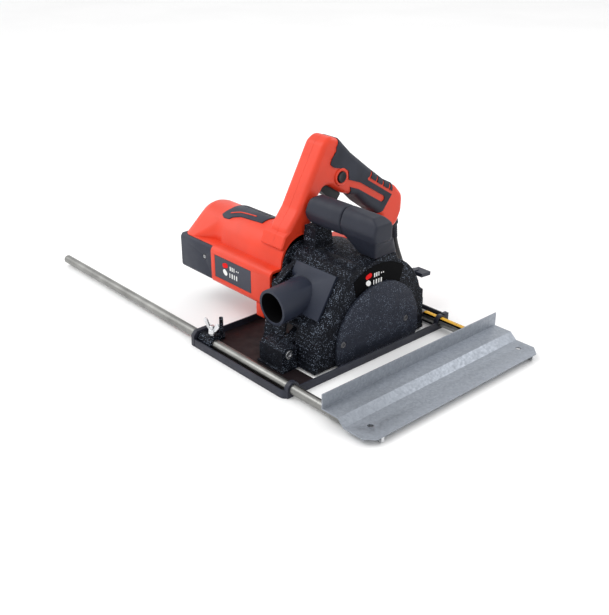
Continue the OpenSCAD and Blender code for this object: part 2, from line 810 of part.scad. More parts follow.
// Rubber skin on the grip, with a red tongue, a red comb and the button's collar left bare
skin_t = 1.2;
module skin_outline()
    difference() {
        polygon([[44, 250], [43, 231], [45, 222], [38, 214], [35, 207], [42, 202], [54, 199],
            [66, 194], [67, 184], [71, 166], [70, 150], [114, 120], [130, 127], [146, 146],
            [148, 160], [160, 175], [110, 215]]);
        stroke([[60, 180], [86, 170], [128, 144]], 4.2);
        stroke([[102, 176], [146, 148]], 1.9);
        for (i = [0 : 3])
            stroke([[103 + i * 12, 175 - i * 7.6], [118 + i * 12, 198 - i * 7.6]], 1.7);
        translate([button_y, button_z]) circle(11.5);
    }

module grip_overmould()
    color("#2c2f36") intersection() {
        difference() {
            handle_solid(skin_t);
            handle_solid();
        }
        xslab(handle_x - handle_w, handle_x + handle_w) skin_outline();
    }

module handle_screws()
    color("#6d7075") for (p = [[4, 168], [150, 128], [60, 92]])
        translate([handle_x - handle_w / 2 - 0.2, p[0], p[1]]) rotate([0, -90, 0]) screw(3, 2.2, 1.6, 24);

module switch_module()
    color("#1d1f24") translate([handle_x, 82, 176]) rotate([-38, 0, 0])
        cube([16, 36, 16], center = true);

module trigger()
    color("#2b2d33") {
        xcyl(3.6, handle_x - 8, handle_x + 8, pivot_y, pivot_z);
        xslab(handle_x - 8, handle_x + 8)
            polygon([[26, 182], [30, 184.5], [60, 171], [62, 162], [57, 156], [47, 160], [36, 167],
                [27, 175]]);
    }

trigger_spring_z = 176.2;
trigger_spring_l = 5.4;
module trigger_spring()
    color("#8d9196") translate([handle_x, 52, trigger_spring_z]) difference() {
        cylinder(r = 2.6, h = trigger_spring_l);
        translate([0, 0, -1]) cylinder(r = 1.6, h = trigger_spring_l + 2);
    }

module lock_button()
    color("#1d1f24") {
        xcyl(7, handle_x + 10, handle_x + handle_w / 2 + 3, button_y, button_z);
        xcyl(8.4, handle_x + 9, handle_x + 11.5, button_y, button_z);
    }

module spindle_lock()
    color("#1d1f24") translate([lock_x, 21, lock_z]) rotate([-90, 0, 0]) cylinder(r = 5, h = 10);

// ---------------------------------------------------------------- cord

cord_r = cord_d / 2;
coil_c = [-265, 186];
coil_mean = 40;       // radius at the middle of the turns
coil_wide = 4;        // turns side by side
coil_high = 2;        // layers of turns
guard_tip = [handle_x, 175.3, 74];
guard_tilt = 14;
cord_route = [[-44.5, 175.6, 73.4], [-44.5, 178.5, 63], [-44.5, 183, 51], [-45, 189, 38.5],
    [-48, 196.5, 25], [-56, 204, 12.5], [-70, 210, 5.2], [-86, 214.5, 3.5], [-104, 218, 3.5],
    [-124, 220.5, 3.5], [-146, 223.5, 3.5], [-168, 227, 3.5], [-190, 230.5, 3.5],
    [-212, 233.5, 3.5], [-230, 235.2, 3.5], [-246, 236.2, 3.5], [-265, 236.5, 3.5]];
plug_r = 13;
plug_x = -318;        // where the cord enters the plug
plug_l = 34;

function unit(v) = v / norm(v);
function tangent(p, i) =
    unit(p[min(i + 1, len(p) - 1)] - p[max(i - 1, 0)]);
function smooth(p, n) = concat([for (i = [0 : len(p) - 2], k = [0 : n - 1])
    let (t = k / n, a = p[max(i - 1, 0)], b = p[i], c = p[i + 1], d = p[min(i + 2, len(p) - 1)])
    0.5 * (2 * b + (c - a) * t + (2 * a - 5 * b + 4 * c - d) * t * t
        + (3 * b - a - 3 * c + d) * t * t * t)], [p[len(p) - 1]]);

// Tube of radius r swept along points p, with n sides
module tube(p, r, n = 8) {
    side = [for (i = [0 : len(p) - 1]) unit(cross(tangent(p, i), [0.3, 0.2, 0.93]))];
    rings = [for (i = [0 : len(p) - 1], k = [0 : n - 1])
        let (t = tangent(p, i), u = side[i], w = cross(u, t), a = 360 * k / n)
        p[i] + r * (cos(a) * u + sin(a) * w)];
    last = (len(p) - 1) * n;
    polyhedron(rings, concat([[for (k = [0 : n - 1]) k]],
        [[for (k = [0 : n - 1]) last + n - 1 - k]],
        [for (i = [0 : len(p) - 2], k = [0 : n - 1])
            [i * n + k, (i + 1) * n + k, (i + 1) * n + (k + 1) % n, i * n + (k + 1) % n]]));
}

module cord_guard()
    color("#1d1f24") translate(guard_tip) rotate([guard_tilt, 0, 0]) {
        cylinder(r1 = cord_r + 0.8, r2 = cord_r + 3, h = 28);
        translate([0, 0, 22]) cylinder(r = cord_r + 4.5, h = 5);
    }

module cord_run() color("#17181b") tube(smooth(cord_route, 2), cord_r);

module cord_coil()
    color("#17181b") translate([coil_c[0], coil_c[1], 0]) rotate_extrude($fn = 64)
        translate([coil_mean - coil_wide / 2 * cord_d, 0])
            square([coil_wide * cord_d, coil_high * cord_d]);

// Plug with the short tail of cord from the coil's outer turn
plug_y = coil_c[1] + coil_mean + (coil_wide - 1) / 2 * cord_d;
module plug()
    color("#17181b") {
        xcyl(plug_r, plug_x - plug_l, plug_x, plug_y, plug_r);
        xcyl(cord_r, plug_x - 1, coil_c[0] - 16, plug_y, plug_r - 1.5);
    }

tray();
hood();
blade_cover();
cover_label();
cover_screws();
dust_port();
aux_handle_left();
aux_handle_right();
aux_screws();
hinge_block();
hinge_pin();
rod_clamps();
depth_quadrant();
plunge_spring();
motor_housing();
rear_cap();
cap_screws();
label_plate();
vent_grille();
stator();
brush_holders();
gear_case();
motor_bearings();
spindle_bearing();
handle_left();
handle_right();
grip_overmould();
handle_screws();
switch_module();
cord_guard();
spring_bolt();
motor_shaft();
armature_core();
commutator();
cooling_fan();
pinion();
spindle_shaft();
drive_gear();
inner_flange();
diamond_blades();
blade_spacer();
outer_flange();
arbor_nut();
trigger();
trigger_spring();
lock_button();
spindle_lock();
guide_rods();
rod_saddles();
guide_plate();
scale_tape();
roller_axles();
roller_front();
roller_rear();
wing_screw_front();
wing_screw_rear();
depth_lever();
cord_run();
cord_coil();
plug();
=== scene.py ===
"""Looks for the wall chaser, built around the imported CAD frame. Metres, in the CAD's own frame."""
import json
import math

import bmesh
import bpy
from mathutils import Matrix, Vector
from mathutils.geometry import tessellate_polygon


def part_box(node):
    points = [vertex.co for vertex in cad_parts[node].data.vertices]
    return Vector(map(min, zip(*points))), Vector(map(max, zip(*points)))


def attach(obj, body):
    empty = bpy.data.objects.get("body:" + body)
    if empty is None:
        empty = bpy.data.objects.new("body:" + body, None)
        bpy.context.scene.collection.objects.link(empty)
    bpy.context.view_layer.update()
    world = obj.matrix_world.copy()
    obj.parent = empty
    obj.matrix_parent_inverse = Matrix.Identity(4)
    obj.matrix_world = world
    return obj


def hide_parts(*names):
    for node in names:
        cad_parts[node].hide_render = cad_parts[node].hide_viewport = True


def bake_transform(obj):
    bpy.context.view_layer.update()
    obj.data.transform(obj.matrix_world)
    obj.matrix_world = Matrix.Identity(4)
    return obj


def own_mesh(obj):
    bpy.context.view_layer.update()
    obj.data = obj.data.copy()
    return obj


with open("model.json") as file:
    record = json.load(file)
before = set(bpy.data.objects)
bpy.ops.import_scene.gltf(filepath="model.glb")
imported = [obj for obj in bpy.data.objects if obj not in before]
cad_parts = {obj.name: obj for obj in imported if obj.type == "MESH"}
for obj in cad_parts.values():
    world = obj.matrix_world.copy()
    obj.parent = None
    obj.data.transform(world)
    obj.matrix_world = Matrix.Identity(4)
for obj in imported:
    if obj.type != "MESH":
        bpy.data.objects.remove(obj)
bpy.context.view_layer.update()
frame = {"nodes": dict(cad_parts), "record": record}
NODES = frame["nodes"]
BODY_OF = {n: b for b, ns in frame["record"]["behaviour"]["bodies"].items() for n in ns}
SLOT_OF = {s["node"]: s["material_slot"] for s in frame["record"]["subparts"]}
MM = 0.001
scene = bpy.context.scene


def mm(*values):
    """Millimetres to a vector in metres."""
    return Vector([v * MM for v in values])


# ------------------------------------------------------------------ camera, light, stage

CAMERA_AT = Vector((0.7354, -0.6901, 0.5200))
CAMERA_AZIMUTH = 48.1
CAMERA_ELEVATION = 25.55
CAMERA_LENS = 52.86


def make_camera():
    a = math.radians(CAMERA_AZIMUTH)
    e = math.radians(CAMERA_ELEVATION)
    back = Vector((math.sin(a) * math.cos(e), -math.cos(a) * math.cos(e), math.sin(e)))
    data = bpy.data.cameras.new("camera")
    data.lens = CAMERA_LENS
    data.sensor_width = 36
    data.clip_start = 0.01
    data.clip_end = 50
    camera = bpy.data.objects.new("camera", data)
    camera.location = CAMERA_AT
    camera.rotation_mode = "QUATERNION"
    camera.rotation_quaternion = (-back).to_track_quat("-Z", "Y")
    scene.collection.objects.link(camera)
    scene.camera = camera


def area_light(name, at, aim, size, power):
    data = bpy.data.lights.new(name, "AREA")
    data.shape = "RECTANGLE"
    data.size, data.size_y = size
    data.energy = power
    light = bpy.data.objects.new(name, data)
    light.location = at
    light.rotation_mode = "QUATERNION"
    light.rotation_quaternion = (Vector(aim) - Vector(at)).to_track_quat("-Z", "Y")
    scene.collection.objects.link(light)


def make_stage():
    world = bpy.data.worlds.new("studio")
    world.use_nodes = True
    world.node_tree.nodes["Background"].inputs["Color"].default_value = (1, 1, 1, 1)
    world.node_tree.nodes["Background"].inputs["Strength"].default_value = 1.0
    scene.world = world
    scene.view_settings.view_transform = "Standard"
    area_light("key", (-0.7, -1.2, 1.8), (0, 0, 0.05), (1.6, 1.0), 16)
    area_light("fill", (-1.6, -0.7, 0.9), (-0.1, 0, 0.1), (1.2, 1.2), 5)
    area_light("rim", (0.5, 1.6, 1.3), (0, 0, 0.1), (1.4, 0.8), 9)
    mesh = bpy.data.meshes.new("floor")
    mesh.from_pydata([(-15, -15, 0), (15, -15, 0), (15, 15, 0), (-15, 15, 0)], [], [(0, 1, 2, 3)])
    floor = bpy.data.objects.new("floor", mesh)
    floor.location.z = -0.0003
    scene.collection.objects.link(floor)
    floor.data.materials.append(MATERIAL["floor"])


# ------------------------------------------------------------------ materials

class Shader:
    """A Principled material and short calls that add its procedural detail."""

    def __init__(self, name, colour, roughness, metallic=0.0, **sockets):
        self.material = bpy.data.materials.new(name)
        self.material.use_nodes = True
        self.tree = self.material.node_tree
        self.bsdf = self.tree.nodes["Principled BSDF"]
        self.bsdf.inputs["Base Color"].default_value = (*colour, 1)
        self.bsdf.inputs["Roughness"].default_value = roughness
        self.bsdf.inputs["Metallic"].default_value = metallic
        for key, value in sockets.items():
            self.bsdf.inputs[key.replace("_", " ")].default_value = value
        self.colour = colour
        self.coords = self.add("ShaderNodeTexCoord").outputs["Object"]
        self.height = None

    def add(self, kind, **sockets):
        node = self.tree.nodes.new(kind)
        for key, value in sockets.items():
            node.inputs[key].default_value = value
        return node

    def link(self, a, b):
        self.tree.links.new(a, b)

    def stretch(self, scale):
        """Coordinates stretched along the axes, for brushed or drawn grain."""
        node = self.add("ShaderNodeMapping", Scale=scale)
        self.link(self.coords, node.inputs["Vector"])
        return node.outputs["Vector"]

    def noise(self, scale, detail=3.0, vector=None):
        node = self.add("ShaderNodeTexNoise", Scale=scale, Detail=detail)
        self.link(vector or self.coords, node.inputs["Vector"])
        return node.outputs["Fac"]

    def cells(self, scale, vector=None):
        node = self.add("ShaderNodeTexVoronoi", Scale=scale)
        self.link(vector or self.coords, node.inputs["Vector"])
        return node

    def ramp(self, fac, stops):
        """Maps fac through (position, colour) stops."""
        node = self.add("ShaderNodeValToRGB")
        elements = node.color_ramp.elements
        while len(elements) < len(stops):
            elements.new(0.5)
        for element, (position, colour) in zip(elements, stops):
            element.position = position
            element.color = (*colour, 1)
        self.link(fac, node.inputs["Fac"])
        return node.outputs["Color"]

    def multiply(self, a, b):
        node = self.add("ShaderNodeMath")
        node.operation = "MULTIPLY"
        self.link(a, node.inputs[0])
        self.link(b, node.inputs[1])
        return node.outputs["Value"]

    def tone(self, fac, low, high, spread=0.12):
        """Base colour that drifts between low and high times the main colour."""
        dark = tuple(c * low for c in self.colour)
        light = tuple(min(c * high, 1) for c in self.colour)
        self.link(self.ramp(fac, [(0.5 - spread, dark), (0.5 + spread, light)]),
                  self.bsdf.inputs["Base Color"])

    def rough(self, fac, low, high):
        node = self.add("ShaderNodeMapRange")
        node.inputs["From Min"].default_value = 0.3
        node.inputs["From Max"].default_value = 0.7
        node.inputs["To Min"].default_value = low
        node.inputs["To Max"].default_value = high
        self.link(fac, node.inputs["Value"])
        self.link(node.outputs["Result"], self.bsdf.inputs["Roughness"])

    def bump(self, fac, strength, distance):
        node = self.add("ShaderNodeBump", Strength=strength, Distance=distance)
        self.link(fac, node.inputs["Height"])
        if self.height:
            self.link(self.height, node.inputs["Normal"])
        self.height = node.outputs["Normal"]
        self.link(self.height, self.bsdf.inputs["Normal"])


def wrinkle_paint(name, colour, grain, depth, share, glint, gloss=0.16):
    """Rough cast metal in black paint, with bright points where a grain catches the light.

    grain is the number of grains a metre, share the part of them that glint."""
    s = Shader(name, colour, 0.5, Specular_IOR_Level=gloss)
    cells = s.cells(grain)
    grey = s.add("ShaderNodeRGBToBW")
    s.link(cells.outputs["Color"], grey.inputs["Color"])
    chosen = s.ramp(grey.outputs["Val"], [(0.62 - share, (0, 0, 0)), (0.78, (1, 1, 1))])
    middle = s.ramp(cells.outputs["Distance"], [(0.12, (1, 1, 1)), (0.5, (0, 0, 0))])
    patches = s.ramp(s.noise(grain * 0.07, 3), [(0.36, (0.25, 0.25, 0.25)), (0.56, (1, 1, 1))])
    point = s.multiply(s.multiply(chosen, middle), patches)
    s.link(s.ramp(point, [(0.08, colour), (0.7, glint)]), s.bsdf.inputs["Base Color"])
    s.bump(s.noise(grain * 1.2, 4), 0.9, depth)
    s.bump(cells.outputs["Distance"], 0.5, depth)
    s.rough(s.noise(grain * 0.3, 2), 0.4, 0.62)
    return s.material


def moulded_plastic(name, colour, rough=0.4, grain=2600, depth=0.00005, **sockets):
    """Injection-moulded plastic: fine spark-eroded grain and slight handling marks."""
    s = Shader(name, colour, rough, **sockets)
    s.tone(s.noise(22, 4), 0.94, 1.05)
    s.rough(s.noise(60, 5), rough - 0.05, rough + 0.09)
    s.bump(s.noise(grain, 2), 0.35, depth)
    return s.material


def rubber(name, colour, grain=1700):
    s = Shader(name, colour, 0.62, Specular_IOR_Level=0.2)
    s.tone(s.noise(35, 4), 0.85, 1.2)
    s.bump(s.cells(grain).outputs["Distance"], 0.4, 0.00012)
    return s.material


def brushed(name, colour, rough, stretch, grain=900, tarnish=0.7):
    """Metal with drawn or brushed grain along one axis."""
    s = Shader(name, colour, rough, 1.0)
    s.tone(s.noise(45, 6), tarnish, 1.08, 0.2)
    lines = s.noise(grain, 3, s.stretch(stretch))
    s.rough(lines, rough - 0.09, rough + 0.14)
    s.bump(lines, 0.22, 0.00005)
    return s.material


def painted_steel(name, colour, rough=0.4):
    s = Shader(name, colour, rough, Specular_IOR_Level=0.3)
    s.tone(s.noise(28, 5), 0.8, 1.2)
    s.rough(s.noise(90, 4), rough - 0.08, rough + 0.12)
    s.bump(s.noise(650, 3), 0.2, 0.00012)
    return s.material


def galvanised(name):
    s = Shader(name, (0.29, 0.315, 0.355), 0.46, 0.8)
    crystals = s.cells(420).outputs["Color"]
    grey = s.add("ShaderNodeRGBToBW")
    s.link(crystals, grey.inputs["Color"])
    s.tone(grey.outputs["Val"], 0.86, 1.1, 0.5)
    s.rough(s.noise(300, 4), 0.36, 0.56)
    s.bump(s.noise(900, 4), 0.25, 0.00008)
    return s.material


def diamond_steel(name):
    s = Shader(name, (0.46, 0.45, 0.44), 0.38, 1.0)
    s.tone(s.noise(120, 5), 0.75, 1.1, 0.2)
    s.bump(s.noise(1500, 3), 0.3, 0.0001)
    return s.material


def floor_material(name):
    s = Shader(name, (0.93, 0.93, 0.93), 0.7)
    s.tone(s.noise(3, 2), 0.99, 1.01)
    return s.material


MATERIAL = {
    "steel_dark": painted_steel("steel_dark", (0.020, 0.022, 0.034)),
    # Painted shade: the tray's inside floor, darker and more brownish than the rest of the tray.
    "tray_floor_shade": painted_steel("tray_floor_shade", (0.011, 0.0065, 0.0075), 0.5),
    "casting": wrinkle_paint("casting", (0.0045, 0.0055, 0.009), 880, 0.0006, 0.18,
                             (0.30, 0.36, 0.46), 0.10),
    "cover_paint": wrinkle_paint("cover_paint", (0.019, 0.023, 0.036), 1000, 0.0003, 0.06,
                                 (0.26, 0.31, 0.40), 0.18),
    "label_black": moulded_plastic("label_black", (0.0015, 0.0015, 0.002), 0.3,
                                   Specular_IOR_Level=0.03),
    "label_slate": moulded_plastic("label_slate", (0.050, 0.053, 0.072), 0.35,
                                   Specular_IOR_Level=0.2),
    "label_white": moulded_plastic("label_white", (0.85, 0.85, 0.84), 0.4),
    "label_red": moulded_plastic("label_red", (0.72, 0.006, 0.006), 0.4,
                                 Specular_IOR_Level=0.1),
    "zinc": brushed("zinc", (0.72, 0.73, 0.75), 0.24, (1, 1, 4), 500, 0.8),
    "port_plastic": moulded_plastic("port_plastic", (0.019, 0.024, 0.041), 0.45,
                                    Specular_IOR_Level=0.3),
    "grip_plastic": moulded_plastic("grip_plastic", (0.015, 0.018, 0.030), 0.5, 1500, 0.00012,
                                    Specular_IOR_Level=0.3),
    "steel_machined": brushed("steel_machined", (0.45, 0.46, 0.47), 0.32, (1, 12, 12)),
    "spring_steel": brushed("spring_steel", (0.42, 0.43, 0.45), 0.3, (6, 6, 1)),
    "red_plastic": moulded_plastic("red_plastic", (0.69, 0.043, 0.014), 0.36,
                                   Specular_IOR_Level=0.35),
    "red_dark": moulded_plastic("red_dark", (0.40, 0.016, 0.008), 0.5),
    "cap_plastic": moulded_plastic("cap_plastic", (0.022, 0.026, 0.042), 0.46,
                                   Specular_IOR_Level=0.3),
    "soft_rubber": rubber("soft_rubber", (0.030, 0.033, 0.045)),
    "black_plastic": moulded_plastic("black_plastic", (0.008, 0.008, 0.011), 0.4,
                                     Specular_IOR_Level=0.25),
    "blackened": brushed("blackened", (0.16, 0.16, 0.17), 0.34, (1, 1, 4), 500, 0.8),
    "laminations": brushed("laminations", (0.22, 0.22, 0.24), 0.5, (60, 1, 1), 300),
    "copper": brushed("copper", (0.72, 0.36, 0.2), 0.34, (20, 1, 1), 300),
    "rod_steel": brushed("rod_steel", (0.27, 0.27, 0.26), 0.34, (0.06, 9, 9), 1600, 0.72),
    "galvanised": galvanised("galvanised"),
    "tape": moulded_plastic("tape", (0.78, 0.42, 0.02), 0.45),
    "diamond": diamond_steel("diamond"),
    "blade_core": brushed("blade_core", (0.5, 0.5, 0.51), 0.34, (1, 8, 8), 700, 0.8),
    "cord_pvc": moulded_plastic("cord_pvc", (0.013, 0.013, 0.015), 0.45, 1800, 0.00006),
    # Painted shade: near-black, almost unreflective colour for the inside of the dust port's bore.
    "bore_shade": moulded_plastic("bore_shade", (0.003, 0.003, 0.0035), 0.7, Specular_IOR_Level=0.05),
    "floor": floor_material("floor"),
}


# ------------------------------------------------------------------ mesh helpers

def to_object(name, bm, smooth_angle=40):
    mesh = bpy.data.meshes.new(name)
    bm.normal_update()
    bm.to_mesh(mesh)
    bm.free()
    piece = bpy.data.objects.new(name, mesh)
    scene.collection.objects.link(piece)
    shade(piece, smooth_angle)
    return piece


def shade(piece, angle=40):
    """Smooth shading that keeps edges sharper than the angle."""
    mesh = piece.data
    bm = bmesh.new()
    bm.from_mesh(mesh)
    limit = math.radians(angle)
    for face in bm.faces:
        face.smooth = True
    for edge in bm.edges:
        edge.smooth = len(edge.link_faces) == 2 and edge.calc_face_angle(0) < limit
    bm.to_mesh(mesh)
    bm.free()


def apply_modifiers(piece):
    graph = bpy.context.evaluated_depsgraph_get()
    mesh = bpy.data.meshes.new_from_object(piece.evaluated_get(graph))
    piece.modifiers.clear()
    piece.data = mesh
    return piece


def finish(piece, material, body, slot, *replaced):
    piece.data.materials.clear()
    piece.data.materials.append(MATERIAL[material])
    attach(piece, body)
    if replaced:
        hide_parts(*replaced)
    return piece


def clean_copy(node, name):
    """A mesh object with the CAD node's solids, welded and free of needless edges."""
    bm = bmesh.new()
    bm.from_mesh(NODES[node].data)
    bmesh.ops.remove_doubles(bm, verts=bm.verts, dist=1e-6)
    bmesh.ops.dissolve_limit(bm, angle_limit=math.radians(0.6), verts=bm.verts, edges=bm.edges)
    return to_object(name, bm, 30)


def bevelled(node, width, segments=3, angle=32):
    """The CAD node with its hard edges rounded."""
    piece = clean_copy(node, node + "_finished")
    bevel = piece.modifiers.new("round", "BEVEL")
    bevel.width = width
    bevel.segments = segments
    bevel.limit_method = "ANGLE"
    bevel.angle_limit = math.radians(angle)
    bevel.miter_outer = "MITER_ARC"
    bevel.use_clamp_overlap = True
    apply_modifiers(piece)
    shade(piece, 35)
    slot = SLOT_OF[node]
    return finish(piece, slot, BODY_OF[node], slot, node)


def moulded(node, voxel, passes):
    """The CAD node with every edge softened, for a solid moulding."""
    piece = clean_copy(node, node + "_finished")
    remesh = piece.modifiers.new("remesh", "REMESH")
    remesh.mode = "VOXEL"
    remesh.voxel_size = voxel
    smooth = piece.modifiers.new("smooth", "SMOOTH")
    smooth.factor = 0.5
    smooth.iterations = passes
    apply_modifiers(piece)
    shade(piece, 60)
    slot = SLOT_OF[node]
    return finish(piece, slot, BODY_OF[node], slot, node)


def weigh_normals(piece):
    """Keeps large flat faces flat beside rounded edges."""
    piece.modifiers.new("normals", "WEIGHTED_NORMAL").keep_sharp = True
    return apply_modifiers(piece)


def cut(piece, *tools, operation="DIFFERENCE"):
    """Cuts, joins or intersects piece with closed meshes, which are then removed."""
    for tool in tools:
        modifier = piece.modifiers.new("cut", "BOOLEAN")
        modifier.operation = operation
        modifier.solver = "EXACT"
        modifier.object = tool
        apply_modifiers(piece)
        bpy.data.objects.remove(tool)
    return piece


def rounded(points, radius, steps=5):
    """A polygon with its corners turned into arcs; counter-clockwise."""
    if sum(a[0] * b[1] - b[0] * a[1] for a, b in zip(points, points[1:] + points[:1])) < 0:
        points = points[::-1]
    out = []
    for i, point in enumerate(points):
        p = Vector(point)
        back = Vector(points[i - 1]) - p
        ahead = Vector(points[(i + 1) % len(points)]) - p
        u, v = back.normalized(), ahead.normalized()
        half = u.angle(v) / 2
        reach = min(radius / math.tan(half), back.length * 0.48, ahead.length * 0.48)
        r = reach * math.tan(half)
        if r < 0.02 or half > math.radians(89.5):
            out.append(p)
            continue
        centre = p + (u + v).normalized() * (r / math.sin(half))
        start, end = p + u * reach - centre, p + v * reach - centre
        turn = start.angle_signed(end)
        for k in range(steps + 1):
            a = -turn * k / steps
            out.append(centre + Vector((start.x * math.cos(a) - start.y * math.sin(a),
                                        start.x * math.sin(a) + start.y * math.cos(a))))
    return out


def offset(ring, distance):
    """The counter-clockwise ring moved outward by distance."""
    out = []
    for i, p in enumerate(ring):
        u = (p - ring[i - 1]).normalized()
        v = (ring[(i + 1) % len(ring)] - p).normalized()
        n = (Vector((u.y, -u.x)) + Vector((v.y, -v.x))).normalized()
        out.append(p + n * distance / max(n.dot(Vector((u.y, -u.x))), 0.5))
    return out


def bridge(bm, a, b):
    for i in range(len(a)):
        j = (i + 1) % len(a)
        bm.faces.new((a[i], a[j], b[j], b[i]))


def loft_x(name, outer, inner, stations):
    """A bar along X from rings in (Y, Z): stations are (x, outer growth, hole growth), mm."""
    bm = bmesh.new()
    rings = []
    for x, grow, hole in stations:
        pair = [[bm.verts.new(mm(x, p.x, p.y)) for p in offset(outer, grow)]]
        if inner:
            pair.append([bm.verts.new(mm(x, p.x, p.y)) for p in offset(inner, hole)])
        rings.append(pair)
    for a, b in zip(rings, rings[1:]):
        for ring_a, ring_b in zip(a, b):
            bridge(bm, ring_a, ring_b)
    for pair in (rings[0], rings[-1]):
        flat = [v for ring in pair for v in ring]
        polygons = [[v.co for v in ring] for ring in pair]
        for triangle in tessellate_polygon(polygons):
            bm.faces.new([flat[k] for k in triangle])
    bmesh.ops.recalc_face_normals(bm, faces=bm.faces)
    return to_object(name, bm)


def prism(name, outline, x0, x1):
    return loft_x(name, outline, None, [(x0, 0, 0), (x1, 0, 0)])


def capsule(points, radius, steps=10):
    """Outline of a round-ended stroke through points in (Y, Z)."""
    side = []
    pts = [Vector(p) for p in points]
    for i, p in enumerate(pts):
        u = (pts[min(i + 1, len(pts) - 1)] - pts[max(i - 1, 0)]).normalized()
        side.append((p, Vector((u.y, -u.x)) * radius, u * radius))
    out = [p + n for p, n, _ in side]
    p, n, u = side[-1]
    out += [p + n * math.cos(a) + u * math.sin(a)
            for a in (math.pi * k / steps for k in range(1, steps))]
    out += [p - n for p, n, _ in reversed(side)]
    p, n, u = side[0]
    out += [p - n * math.cos(a) - u * math.sin(a)
            for a in (math.pi * k / steps for k in range(1, steps))]
    return out


def circle(centre, radius, count=48):
    return [Vector((centre[0] + radius * math.cos(2 * math.pi * k / count),
                    centre[1] + radius * math.sin(2 * math.pi * k / count))) for k in range(count)]


def lathe(name, profile, at, axis, count=48, angle=35):
    """Turns (radius, height) points, mm, about an axis that starts at a point."""
    frame_z = Vector(axis).normalized()
    frame_x = frame_z.orthogonal().normalized()
    frame_y = frame_z.cross(frame_x)
    bm = bmesh.new()
    rings = []
    for radius, height in profile:
        middle = Vector(at) + frame_z * height
        if radius < 1e-6:
            rings.append([bm.verts.new(middle * MM)])
            continue
        rings.append([bm.verts.new((middle + radius * (math.cos(a) * frame_x
                                                       + math.sin(a) * frame_y)) * MM)
                      for a in (2 * math.pi * k / count for k in range(count))])
    for a, b in zip(rings, rings[1:]):
        for i in range(count):
            j = (i + 1) % count
            if len(a) == 1:
                bm.faces.new((a[0], b[j], b[i]))
            elif len(b) == 1:
                bm.faces.new((a[i], a[j], b[0]))
            else:
                bm.faces.new((a[i], a[j], b[j], b[i]))
    bmesh.ops.recalc_face_normals(bm, faces=bm.faces)
    return to_object(name, bm, angle)


def sweep(name, points, radius, sides=10, angle=60):
    """A closed tube through points in mm; radius is a number or one for each point."""
    pts = [Vector(p) for p in points]
    radii = radius if isinstance(radius, list) else [radius] * len(pts)
    bm = bmesh.new()
    side = None
    rings = []
    for i, p in enumerate(pts):
        u = (pts[min(i + 1, len(pts) - 1)] - pts[max(i - 1, 0)]).normalized()
        side = (side - u * side.dot(u)).normalized() if side else u.orthogonal().normalized()
        up = u.cross(side)
        rings.append([bm.verts.new((p + radii[i] * (math.cos(a) * side + math.sin(a) * up)) * MM)
                      for a in (2 * math.pi * k / sides for k in range(sides))])
    for a, b in zip(rings, rings[1:]):
        bridge(bm, a, b)
    bm.faces.new(rings[0])
    bm.faces.new(rings[-1])
    bmesh.ops.recalc_face_normals(bm, faces=bm.faces)
    return to_object(name, bm, angle)


def catmull(points, n):
    """Points on a smooth curve through points, n to a stretch."""
    pts = [Vector(p) for p in points]
    out = []
    for i in range(len(pts) - 1):
        a, b, c, d = pts[max(i - 1, 0)], pts[i], pts[i + 1], pts[min(i + 2, len(pts) - 1)]
        for k in range(n):
            t = k / n
            out.append(0.5 * (2 * b + (c - a) * t + (2 * a - 5 * b + 4 * c - d) * t * t
                              + (3 * b - a - 3 * c + d) * t * t * t))
    return out + [pts[-1]]


def spring(name, centre, z0, z1, mean_r, wire_r, turns):
    """A wound coil spring along Z with closed ends."""
    count = int(turns * 20)
    points = []
    for k in range(count + 1):
        t = k / count
        level = min(1, max(0, (t * turns - 0.9) / (turns - 1.8)))
        a = 2 * math.pi * turns * t
        points.append((centre[0] + mean_r * math.cos(a), centre[1] + mean_r * math.sin(a),
                       z0 + wire_r + level * (z1 - z0 - 2 * wire_r)))
    return sweep(name, points, wire_r, 8)


# ------------------------------------------------------------------ cord

CORD_R = 3.5
COIL_CENTRE = (-265, 186)
COIL_OUTER = 50.5     # radius of the outermost turn
COIL_TURNS = 4        # turns in each of the two layers
GUARD_TIP = (-44.5, 175.6, 73.4)
GUARD_AXIS = Vector((0, -math.sin(math.radians(14)), math.cos(math.radians(14))))
CORD_ROUTE = [
    GUARD_TIP, (-44.5, 178.5, 63), (-44.5, 183, 51), (-45, 189, 38.5), (-48, 196.5, 25),
    (-56, 204, 12.5), (-70, 210, 5.2), (-86, 214.5, 3.5), (-104, 218, 3.5), (-124, 220.5, 3.5),
    (-146, 223.5, 3.5), (-168, 227, 3.5), (-190, 230.5, 3.5), (-212, 233.5, 3.5),
    (-230, 235.2, 3.5), (-246, 236.2, 3.5)]
PLUG_X = -318
PLUG_Y = COIL_CENTRE[1] + COIL_OUTER
PLUG_R = 13


def coil_points():
    """Two flat layers: inward along the floor, up, and outward on top."""
    per_turn = 20
    points = []
    for k in range(2 * COIL_TURNS * per_turn + 1):
        turn, part = divmod(k / per_turn, 1)
        turn = int(turn)
        step = max(0, (part - 0.55) / 0.45)
        step = step * step * (3 - 2 * step)
        inward = turn < COIL_TURNS
        last = turn in (COIL_TURNS - 1, 2 * COIL_TURNS - 1) or turn >= 2 * COIL_TURNS
        place = turn if inward else 2 * COIL_TURNS - 1 - min(turn, 2 * COIL_TURNS - 1)
        shift = 0 if last else (step if inward else -step)
        r = COIL_OUTER - 2 * CORD_R * (place + shift)
        z = CORD_R if inward else 3 * CORD_R
        if turn == COIL_TURNS - 1:
            z += 2 * CORD_R * step
        a = math.pi / 2 + 2 * math.pi * k / per_turn
        points.append((COIL_CENTRE[0] + r * math.cos(a), COIL_CENTRE[1] + r * math.sin(a), z))
    return points


